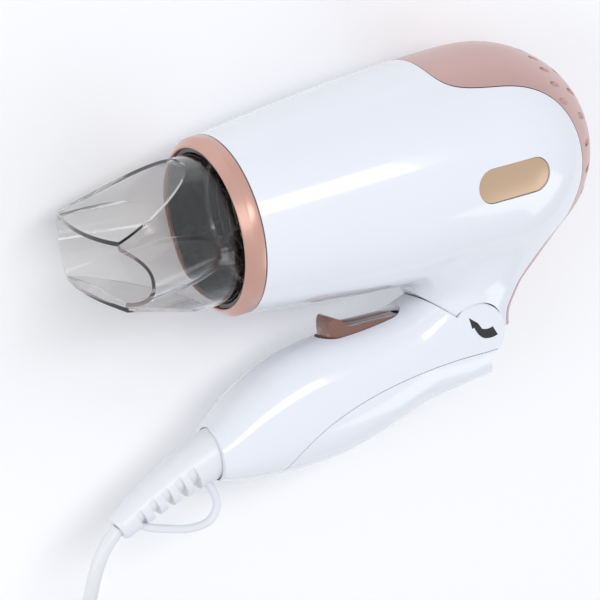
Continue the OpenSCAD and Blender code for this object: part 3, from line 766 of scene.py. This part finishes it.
def offset_line(points, distance):
    """The line moved sideways, to its left for a positive distance."""
    out = []
    for i, p in enumerate(points):
        ahead = points[min(i + 1, len(points) - 1)] - points[max(i - 1, 0)]
        out.append(p + distance * Vector((-ahead.y, ahead.x)).normalized())
    return out


COVER_LINE = [
    *bezier([(82, 60), (82, 50), (82, 45), (82, 38)], 4)[:-1],
    *bezier([(82, 38), (82.5, 31), (92, 30.4), (104, 28.6)], 14)[:-1],
    *bezier([(104, 28.6), (124, 25.5), (131.5, 12), (131.5, -5)], 18)[:-1],
    *bezier([(131.5, -5), (131, -28), (112, -40), (103, -56)], 16),
    Vector((101.5, -66))]


def cover_space(name, grow):
    line = offset_line(COVER_LINE, grow)
    return prism(name, [*line, Vector((170, -66)), Vector((170, 60))], -DEEP, DEEP)


SLOT_ROWS = [(33.4, 2.8, 60, 11), (26, 4.4, 130, 14), (18.4, 4.4, 165, 12), (11, 4, 157.5, 8)]


def air_slots():
    """Rows of round-ended slots round the barrel's axis."""
    cutters = []
    for inner, depth, last, count in SLOT_ROWS:
        cutter = block("slot", (114, inner, -1.3), (170, inner + depth, 1.3))
        edit(cutter)
        bpy.ops.mesh.select_all(action="DESELECT")
        mesh = bmesh.from_edit_mesh(cutter.data)
        for e in mesh.edges:
            if abs(e.verts[0].co.x - e.verts[1].co.x) > 1:
                e.select = True
        mesh.select_flush_mode()
        bpy.ops.mesh.bevel(offset=1.1, segments=5, affect="EDGES")
        done()
        for i in range(count):
            angle = math.radians(mix(-last, last, i / (count - 1)))
            one = copied(cutter, "slot")
            one.data.transform(Matrix.Rotation(angle, 4, "X"))
            cutters.append(one)
        drop(cutter)
    return joined("slots", cutters)


def barrel_pieces():
    """Both shells, the rear cover and both inlays, cut from one skin so that their gaps match."""
    skin = barrel_cage()
    fit_cage(skin)
    subdivided(skin, 3)
    solid = copied(skin, "barrel_solid")
    edit(solid)
    bpy.ops.mesh.select_all(action="DESELECT")
    bpy.ops.mesh.select_non_manifold(extend=False)
    bpy.ops.mesh.edge_face_add()
    done()
    face_out(solid)
    shell = copied(skin, "barrel_shell")
    apply_modifier(shell, "SOLIDIFY", thickness=WALL, offset=-1, use_even_offset=True)
    drop(skin)

    walls = at_pivot("walls", EAR_R + 2 * WALL, -DEEP, DEEP)
    for start, end in ((SHOULDER - 5, SHOULDER + 2), (NECK_END - 2, NECK_END + 5)):
        carve(walls, pie("wall", start, end, 34), "UNION")
    for x, y in BARREL_SCREWS:
        carve(walls, rod("boss", (x, y, -18), (x, y, 18), BOSS_R), "UNION")
    apply_modifier(solid, "DISPLACE", strength=-WALL / 3, mid_level=0)
    carve(walls, solid, "INTERSECT")
    carve(shell, walls, "UNION")
    carve(shell, pie("under", SHOULDER, 360 + NECK_END, 28))
    for side in (-1, 1):
        ends = sorted((side * KNUCKLE_HALF, side * 40))
        carve(shell, at_pivot("ear_room", EAR_R + TURN_GAP, *ends))
    carve(shell, at_pivot("knuckle", EAR_R, -KNUCKLE_HALF, KNUCKLE_HALF), "UNION")
    carve(shell, at_pivot("pin_hole", PIN_R + 0.05, -DEEP, DEEP))
    for x, y in BARREL_SCREWS:
        carve(shell, rod("screw_hole", (x, y, -8), (x, y, 10), SCREW_HOLE_R, 24))
        carve(shell, rod("head_hole", (x, y, -50), (x, y, -8), HEAD_HOLE_R, 32))

    cover = copied(shell, "rear_cover_shell")
    carve(cover, cover_space("cover_space", GAP), "INTERSECT")
    carve(cover, air_slots())
    carve(shell, cover_space("body_space", -GAP))
    for side in (-1, 1):
        ends = sorted((side * 20, side * 60))
        carve(shell, prism("pocket", badge_outline(0.15), *ends))
    halves = []
    for side, name in ((1, "left_shell"), (-1, "right_shell")):
        half = copied(shell, name)
        ends = sorted((side * 0.06, side * 80))
        carve(half, block("half", (-50, -120, ends[0]), (200, 120, ends[1])), "INTERSECT")
        halves.append(half)
    drop(shell)
    badges = []
    for side, name in ((1, "left_inlay"), (-1, "right_inlay")):
        ends = sorted((side * 20, side * 60))
        badge = prism(name, badge_outline(-0.05), *ends)
        outer = turned("outer", [(x, barrel_r(x) - 0.5) for x in range(70, 121, 2)]
                       + [(120, 0), (70, 0)])
        inner = turned("inner", [(x, barrel_r(x) - 1.7) for x in range(68, 125, 2)]
                       + [(124, 0), (68, 0)])
        carve(badge, outer, "INTERSECT")
        carve(badge, inner)
        badges.append(badge)
    return halves, cover, badges


halves, cover, badges = barrel_pieces()
seat(halves[0], "barrel", white, ["barrel_shell_left"])
seat(halves[1], "barrel", white, ["barrel_shell_right"])
seat(cover, "barrel", pink, ["rear_cover"])
seat(badges[0], "barrel", gold, ["badge_left"])
seat(badges[1], "barrel", gold, ["badge_right"])


# ---- handle: one outline for both shells and the ears, parted along the back line ----
# Place along the barrel, top, bottom, half depth.
HANDLE = [
    (-19, -70.5, -89.5, 11.5), (-13, -66, -91.5, 13.5), (-5, -60.2, -93, 15.2),
    (5, -55.2, -94, 16.5), (16, -51.8, -94.5, 17.2), (30, -50, -94, 17.5),
    (46, -49.6, -91, 17.5), (60, -48.2, -87, 17.2), (72, -45.6, -83.8, 16.8),
    (82, -44.5, -82, 16.5), (92, -44, -81, 16.5), (104, -43.8, -80, 16.5)]
EAR_GAP = KNUCKLE_HALF + TURN_GAP
RELIEF_START, RELIEF_DIR, RELIEF_BEND, RELIEF_LEN = Vector((-19, -80, 0)), 196, 12, 43
RELIEF_BIG_R, RELIEF_TIP_R = 9.1, 5.0
ROCKER_AT = Vector((47.5, -53.5, 0))
ROCKER_LEN, ROCKER_W = 32, 12.5
WINDOW_HALF = ROCKER_LEN / 2 + 1.4
HANDLE_SCREWS = [(20, -92.4), (70, -82.2)]
CLAMP_SCREW = (2, -82)


def handle_solid(name, inset):
    """The handle's outline as one closed body, drawn in by the inset."""
    rings = []
    for x, top, bottom, half_z in spline_4d(HANDLE, 6):
        roundness = mix(2.3, 3.4, min(max((x - 66) / 16, 0), 1))
        ring = oval((top - bottom) / 2 - inset, half_z - inset, roundness, 72)
        rings.append([Vector((x, (top + bottom) / 2 + y, z)) for y, z in ring])
    return loft(name, rings)


def spline_4d(rows, steps):
    """The spline through rows of four numbers."""
    first = spline([Vector(r[:3]) for r in rows], steps)
    last = spline([Vector((r[0], r[3], 0)) for r in rows], steps)
    return [(a.x, a.y, a.z, b.y) for a, b in zip(first, last)]


def relief_frame(t):
    """A point on the strain relief's line and the directions along and across it."""
    a = math.radians(RELIEF_DIR + RELIEF_BEND * t / 2)
    turn = math.radians(RELIEF_DIR + RELIEF_BEND * t)
    point = RELIEF_START + RELIEF_LEN * t * Vector((math.cos(a), math.sin(a), 0))
    along = Vector((math.cos(turn), math.sin(turn), 0))
    return point, along, Vector((-along.y, along.x, 0))


def stadium(length, width, count=24):
    reach = (length - width) / 2
    return [*arc((reach, 0), width / 2, -90, 90, count),
            *arc((-reach, 0), width / 2, 90, 270, count)]


BACK_LINE = bezier([(1, -97), (9, -74), (50, -67), (90, -69.5)], 32)


def back_space(name, grow):
    line = offset_line(BACK_LINE, grow)
    return prism(name, [line[0] + Vector((-0.1, -30)), *line, Vector((140, -69.5 + grow)),
                        Vector((140, -127))], -DEEP, DEEP)


def handle_pieces():
    """The front shell with the hinge ears and window, and the back shell."""
    outer = handle_solid("handle", 0)
    inner = handle_solid("inner", WALL)
    ends = pie("ends", HANDLE_END - 5, SHOULDER + 5, 110)
    carve(ends, at_pivot("hinge_wall", EAR_R + TURN_GAP + WALL, -DEEP, DEEP), "UNION")
    carve(inner, ends)
    carve(inner, block("front_wall", (-80, -200, -60), (RELIEF_START.x + WALL, 200, 60)))
    for x, y in HANDLE_SCREWS:
        carve(inner, rod("boss", (x, -120, 0), (x, -30, 0), BOSS_R))
    for z in (-8, 8):
        carve(inner, rod("boss", (CLAMP_SCREW[0], -120, z), (*CLAMP_SCREW, z), 3.0))
    carve(outer, inner)

    away = pie("away", HANDLE_END, SHOULDER + 1, 110)
    carve(away, at_pivot("ears", EAR_R, -DEEP - 1, DEEP + 1))
    carve(outer, away)
    carve(outer, at_pivot("knuckle_room", EAR_R + TURN_GAP, -EAR_GAP, EAR_GAP))
    carve(outer, at_pivot("pin_hole", PIN_R + 0.02, -EAR_HALF + 1.5, EAR_HALF - 1.5))
    window = [(ROCKER_AT.x + a, b) for a, b in stadium(2 * WINDOW_HALF, ROCKER_W + 0.8)]
    carve(outer, prism("window", window, -57, -40, "XZ"))
    point, along, _ = relief_frame(0)
    carve(outer, rod("relief_room", point - 12 * along, point + 30 * along, RELIEF_BIG_R + 0.3))
    for x, y in HANDLE_SCREWS:
        carve(outer, rod("screw_hole", (x, y, 0), (x, y + 22, 0), SCREW_HOLE_R, 24))
        carve(outer, rod("head_hole", (x, y - 12, 0), (x, y, 0), HEAD_HOLE_R, 32))
    for z in (-8, 8):
        x, y = CLAMP_SCREW
        carve(outer, rod("screw_hole", (x, y - 7, z), (x, y + 3, z), SCREW_HOLE_R, 24))
    back = copied(outer, "handle_back_shell")
    carve(back, back_space("back_space", -0.12), "INTERSECT")
    carve(outer, back_space("front_space", 0.12))
    return outer, back


def arrow_print():
    """A bent arrow printed on the left ear, which shows the way the handle folds."""
    outline = [(84.7, -54.9), (85.3, -59.2), (86.2, -58.9), *bezier(
        [(86.2, -58.9), (87, -61.5), (88.6, -64), (91.2, -64.3)], 8), *bezier(
        [(91.2, -64.3), (93, -64.6), (94.6, -64.4), (95.7, -64)], 5), (94, -60.5), *bezier(
        [(94, -60.5), (92.5, -61), (90.8, -60.9), (89.4, -60.2)], 6), (88, -57.7)]
    clean = []
    for p in outline:
        if not clean or (Vector(p) - clean[-1]).length > 0.05:
            clean.append(Vector(p))
    print_piece = prism("fold_arrow", clean, 12, 20)
    carve(print_piece, handle_solid("over", -0.07), "INTERSECT")
    carve(print_piece, handle_solid("under", 0.05))
    return print_piece


handle_front, handle_rear = handle_pieces()
seat(handle_front, "handle", white, ["handle_shell"], 35)
seat(handle_rear, "handle", white, ["handle_back"], 35)
arrow = seat(arrow_print(), "handle", ink)


# ---- rocker ----
def rocker_piece():
    """A profile with a raised front end and a shallow scoop, cut to a round-ended plan."""
    half = ROCKER_LEN / 2
    outline = [
        (-15.4, 4.5), (-14.2, 7.8), *bezier([(-14.2, 7.8), (-12.8, 10.7), (-10.9, 10.9),
                                             (-7.6, 6.2)], 10)[1:],
        *bezier([(-7.6, 6.2), (-4, 4.9), (6, 4.6), (15.3, 4.2)], 12)[1:],
        *arc((0, 0), half, 12, -8, 6), *arc((0, 0), half, 188, 168, 6)]
    piece = prism("rocker_cap", outline, -ROCKER_W / 2, ROCKER_W / 2)
    carve(piece, prism("plan", stadium(ROCKER_LEN, ROCKER_W), -40, 40, "XZ"), "INTERSECT")
    carve(piece, block("stem_room", (-10, -7, -4.65), (10, 2.5, 4.65)))
    carve(piece, rod("pin_room", (0, 0, -20), (0, 0, 20), 1.05, 24))
    scoop = rod("scoop", (-6.5, 13.2, 0), (20, 12.1, 0), 8.4, 96)
    carve(piece, scoop)
    apply_modifier(piece, "BEVEL", width=0.35, segments=3, limit_method="ANGLE",
                   angle_limit=math.radians(35), use_clamp_overlap=True)
    piece.data.transform(Matrix.Translation(ROCKER_AT))
    return piece


seat(rocker_piece(), "rocker", copper, ["rocker"], 40)


# ---- strain relief and hanging loop ----
def relief_piece():
    """A tapered boot with grooves across it that fade out towards its upper edge."""
    rings = []
    for i in range(41):
        t = i / 40
        point, _, across = relief_frame(t)
        r = mix(RELIEF_BIG_R, RELIEF_TIP_R, t)
        if i == 40:
            r -= 0.5
        rings.append([point + r * (math.cos(b) * across - math.sin(b) * Vector((0, 0, 1)))
                      for b in (2 * math.pi * k / 64 for k in range(64))])
    piece = loft("strain_relief_boot", rings)
    for i in range(5):
        t = 0.27 + 0.135 * i
        point, along, across = relief_frame(t)
        r = mix(RELIEF_BIG_R, RELIEF_TIP_R, t)
        half = mix(1.7, 1.2, i / 4)
        groove = rod("groove", point - half * along, point + half * along, 1.5 * r, 64)
        lift = 0.3 * r * across * (1 if across.y > 0 else -1)
        core = rod("core", point + lift - 3 * along, point + lift + 3 * along, 0.93 * r, 64)
        carve(groove, core)
        top = point + across * (1 if across.y > 0 else -1) * 1.1 * r
        carve(groove, rod("keep", top - 3 * along, top + 3 * along, 1.05 * r, 64))
        carve(piece, groove)
    point, along, _ = relief_frame(0)
    carve(piece, rod("collar", point - 8 * along, point + 0.5 * along, RELIEF_BIG_R, 64), "UNION")
    carve(piece, rod("root", point - 11 * along, point - 7.8 * along, RELIEF_BIG_R - 2, 64), "UNION")
    carve(piece, rod("bore", point - 12 * along, point - 1 * along, 3.4, 32))
    return piece


LOOP_ROUTE = [(-23.5, -86.5, 0), (-20, -94.5, 0), (-20, -100, 0), (-24, -104, 0),
              (-31.5, -104.3, 0), (-40, -101.8, 0), (-48, -98.6, 0), (-53, -94.8, 0)]
relief = seat(relief_piece(), "handle", soft_white, ["strain_relief"], 38)
loop_line = [ORIGIN + MM * p for p in spline([Vector(p) for p in LOOP_ROUTE], 8)]
loop = swept("hanging_loop", loop_line, 1.5 * MM, 5)
mount(loop, "handle", soft_white, ["hang_loop"])


# ---- nozzle: a round collar pressed flat towards a wide mouth, with wings at its sides ----
COLLAR_R, COLLAR_END, MOUTH_X = 27.0, 9.0, -54.0
NOZZLE_WALL = 1.6
# The collar's top and bottom are scooped from here to the mouth.
SCOOP_START, SCOOP_RISE, SCOOP_CURVE = -12, 15.2, 1.25
# The flat duct starts inside the collar and widens into the wings.
DUCT_START, DUCT_HALF_W, DUCT_HALF_H, WING_SPREAD, WING_CURVE = -8, 24, 15.5, 16.5, 0.85
MOUTH_HALF_H, MOUTH_SWEEP, MOUTH_HALF_W = 12, 9.5, 41
NOZZLE_TURN = math.radians(5.5)


def nozzle_form(name, inset, past):
    """The nozzle's outside, or with an inset its inside, which runs past both ends."""
    piece = rod(name, (MOUTH_X - past, 0, 0), (COLLAR_END + past, 0, 0), COLLAR_R - inset, 128)
    side = [Vector((COLLAR_END + past + 1, 40))]
    for i in range(25):
        s = 1 - i / 24
        rise = SCOOP_RISE * s ** SCOOP_CURVE
        side.append(Vector((mix(MOUTH_X, SCOOP_START, s), MOUTH_HALF_H + rise - inset)))
    side.append(Vector((MOUTH_X - past - 1, MOUTH_HALF_H - inset)))
    # Outside, the cut starts clear of the collar, so that the collar stays round.
    if inset == 0:
        side[1].y = 40
    outline = [*side, *[Vector((p.x, -p.y)) for p in reversed(side)]]
    carve(piece, prism("top", outline, -DEEP, DEEP), "INTERSECT")
    rings = []
    for i in range(29):
        t = i / 28
        x = mix(DUCT_START, MOUTH_X - past, t)
        s = min((DUCT_START - x) / (DUCT_START - MOUTH_X), 1.2)
        half_w = DUCT_HALF_W + WING_SPREAD * s ** WING_CURVE
        half_h = mix(DUCT_HALF_H, MOUTH_HALF_H, min(s, 1))
        ring = oval(half_h - inset, half_w - inset, mix(2, 2.5, min(s, 1)), 96)
        rings.append([Vector((x, y, z)) for y, z in ring])
    carve(piece, loft("duct", rings), "UNION")
    return piece


def nozzle_piece():
    """The outside with its mouth swept back at the wings, less the inside."""
    piece = nozzle_form("nozzle_shell", 0, 0)
    sweep = [Vector((MOUTH_X + MOUTH_SWEEP * (z / MOUTH_HALF_W) ** 2, z)) for z in range(-44, 45, 2)]
    carve(piece, prism("mouth", [*sweep, Vector((-80, 44)), Vector((-80, -44))], -DEEP, DEEP, "XZ"))
    carve(piece, nozzle_form("nozzle_inside", NOZZLE_WALL, 4))
    piece.data.transform(Matrix.Rotation(NOZZLE_TURN, 4, "X"))
    return piece


nozzle = seat(nozzle_piece(), "nozzle", clear, ["nozzle"], 28)
# The end faces of the mouth get a darker brownish tint: painted shade standing in for how the clear
# wall's thick edge looks.
nozzle.data.materials.append(clear_rim_painted_shade)
for face in nozzle.data.polygons:
    if face.normal.x < -0.6 and face.center.x < ORIGIN.x - 42 * MM:
        face.material_index = 1

# ---- front ring ----
ring = turned("ring_band", [
    (-0.18, 29.1), (-0.18, 32.0), (-0.5, 32.42), (-0.9, 32.5), (-3.9, 32.35), (-4.25, 32.2),
    (-4.5, 31.95), (-6.5, 30.15), (-6.85, 29.85), (-7, 29.55), (-7, 29.2), (-6.85, 29.05)], 160)
seat(ring, "barrel", rose, ["front_ring"], 24)

# ---- finishes of the inside pieces, which keep the frame's own shapes ----
FINISH = {
    "outlet_sleeve": black, "outlet_grille": black, "intake_filter": steel,
    "fan_housing": inner_white, "motor": steel, "motor_shaft": steel, "fan": fan_grey,
    "rectifier_board": board, "heater_tube": mica, "heater_boards": mica, "heater_coils": wire,
    "thermostat": brass, "thermal_fuse": brass, "barrel_screws": steel, "barrel_leads": red_lead,
    "hinge_pin": steel, "hinge_washers": steel, "rocker_pin": steel, "switch_body": black,
    "switch_terminals": brass, "handle_leads": blue_lead, "cord_clamp": inner_white,
    "clamp_screws": steel, "handle_screws": steel, "plug_pins": nickel}
for node_name, material in FINISH.items():
    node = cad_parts[node_name]
    node.data.materials.clear()
    node.data.materials.append(material)


# ---- floor and light ----
def floor():
    deselect()
    bpy.ops.mesh.primitive_plane_add(size=14, location=(0, 0, 0))
    plane = bpy.context.object
    plane.name = "floor"
    material, _, shader = new_material("pale floor")
    shader.inputs["Base Color"].default_value = (0.93, 0.93, 0.935, 1)
    shader.inputs["Roughness"].default_value = 0.7
    plane.data.materials.append(material)


def area_light(name, place, target, size, power, colour=(1, 1, 1)):
    lamp = bpy.data.lights.new(name, "AREA")
    lamp.shape = "RECTANGLE"
    lamp.size, lamp.size_y = size
    lamp.energy = power
    lamp.color = colour
    light = bpy.data.objects.new(name, lamp)
    light.location = place
    light.rotation_mode = "QUATERNION"
    light.rotation_quaternion = (Vector(target) - Vector(place)).to_track_quat("-Z", "Y")
    bpy.context.scene.collection.objects.link(light)


def sky():
    world = bpy.data.worlds.new("studio")
    world.use_nodes = True
    world.node_tree.nodes["Background"].inputs["Color"].default_value = (0.93, 0.95, 1, 1)
    world.node_tree.nodes["Background"].inputs["Strength"].default_value = 0.72
    bpy.context.scene.world = world


floor()
sky()
area_light("soft top", (-0.1, 0.5, 1.6), (0, 0, 0), (1.4, 0.4), 9)
area_light("soft left", (-1.3, 0.2, 0.7), (0, 0, 0.05), (0.5, 1.2), 4)
area_light("soft rear", (1.1, -0.9, 0.9), (0, 0, 0.05), (0.8, 0.8), 2.5)
bpy.context.scene.view_settings.view_transform = "Standard"
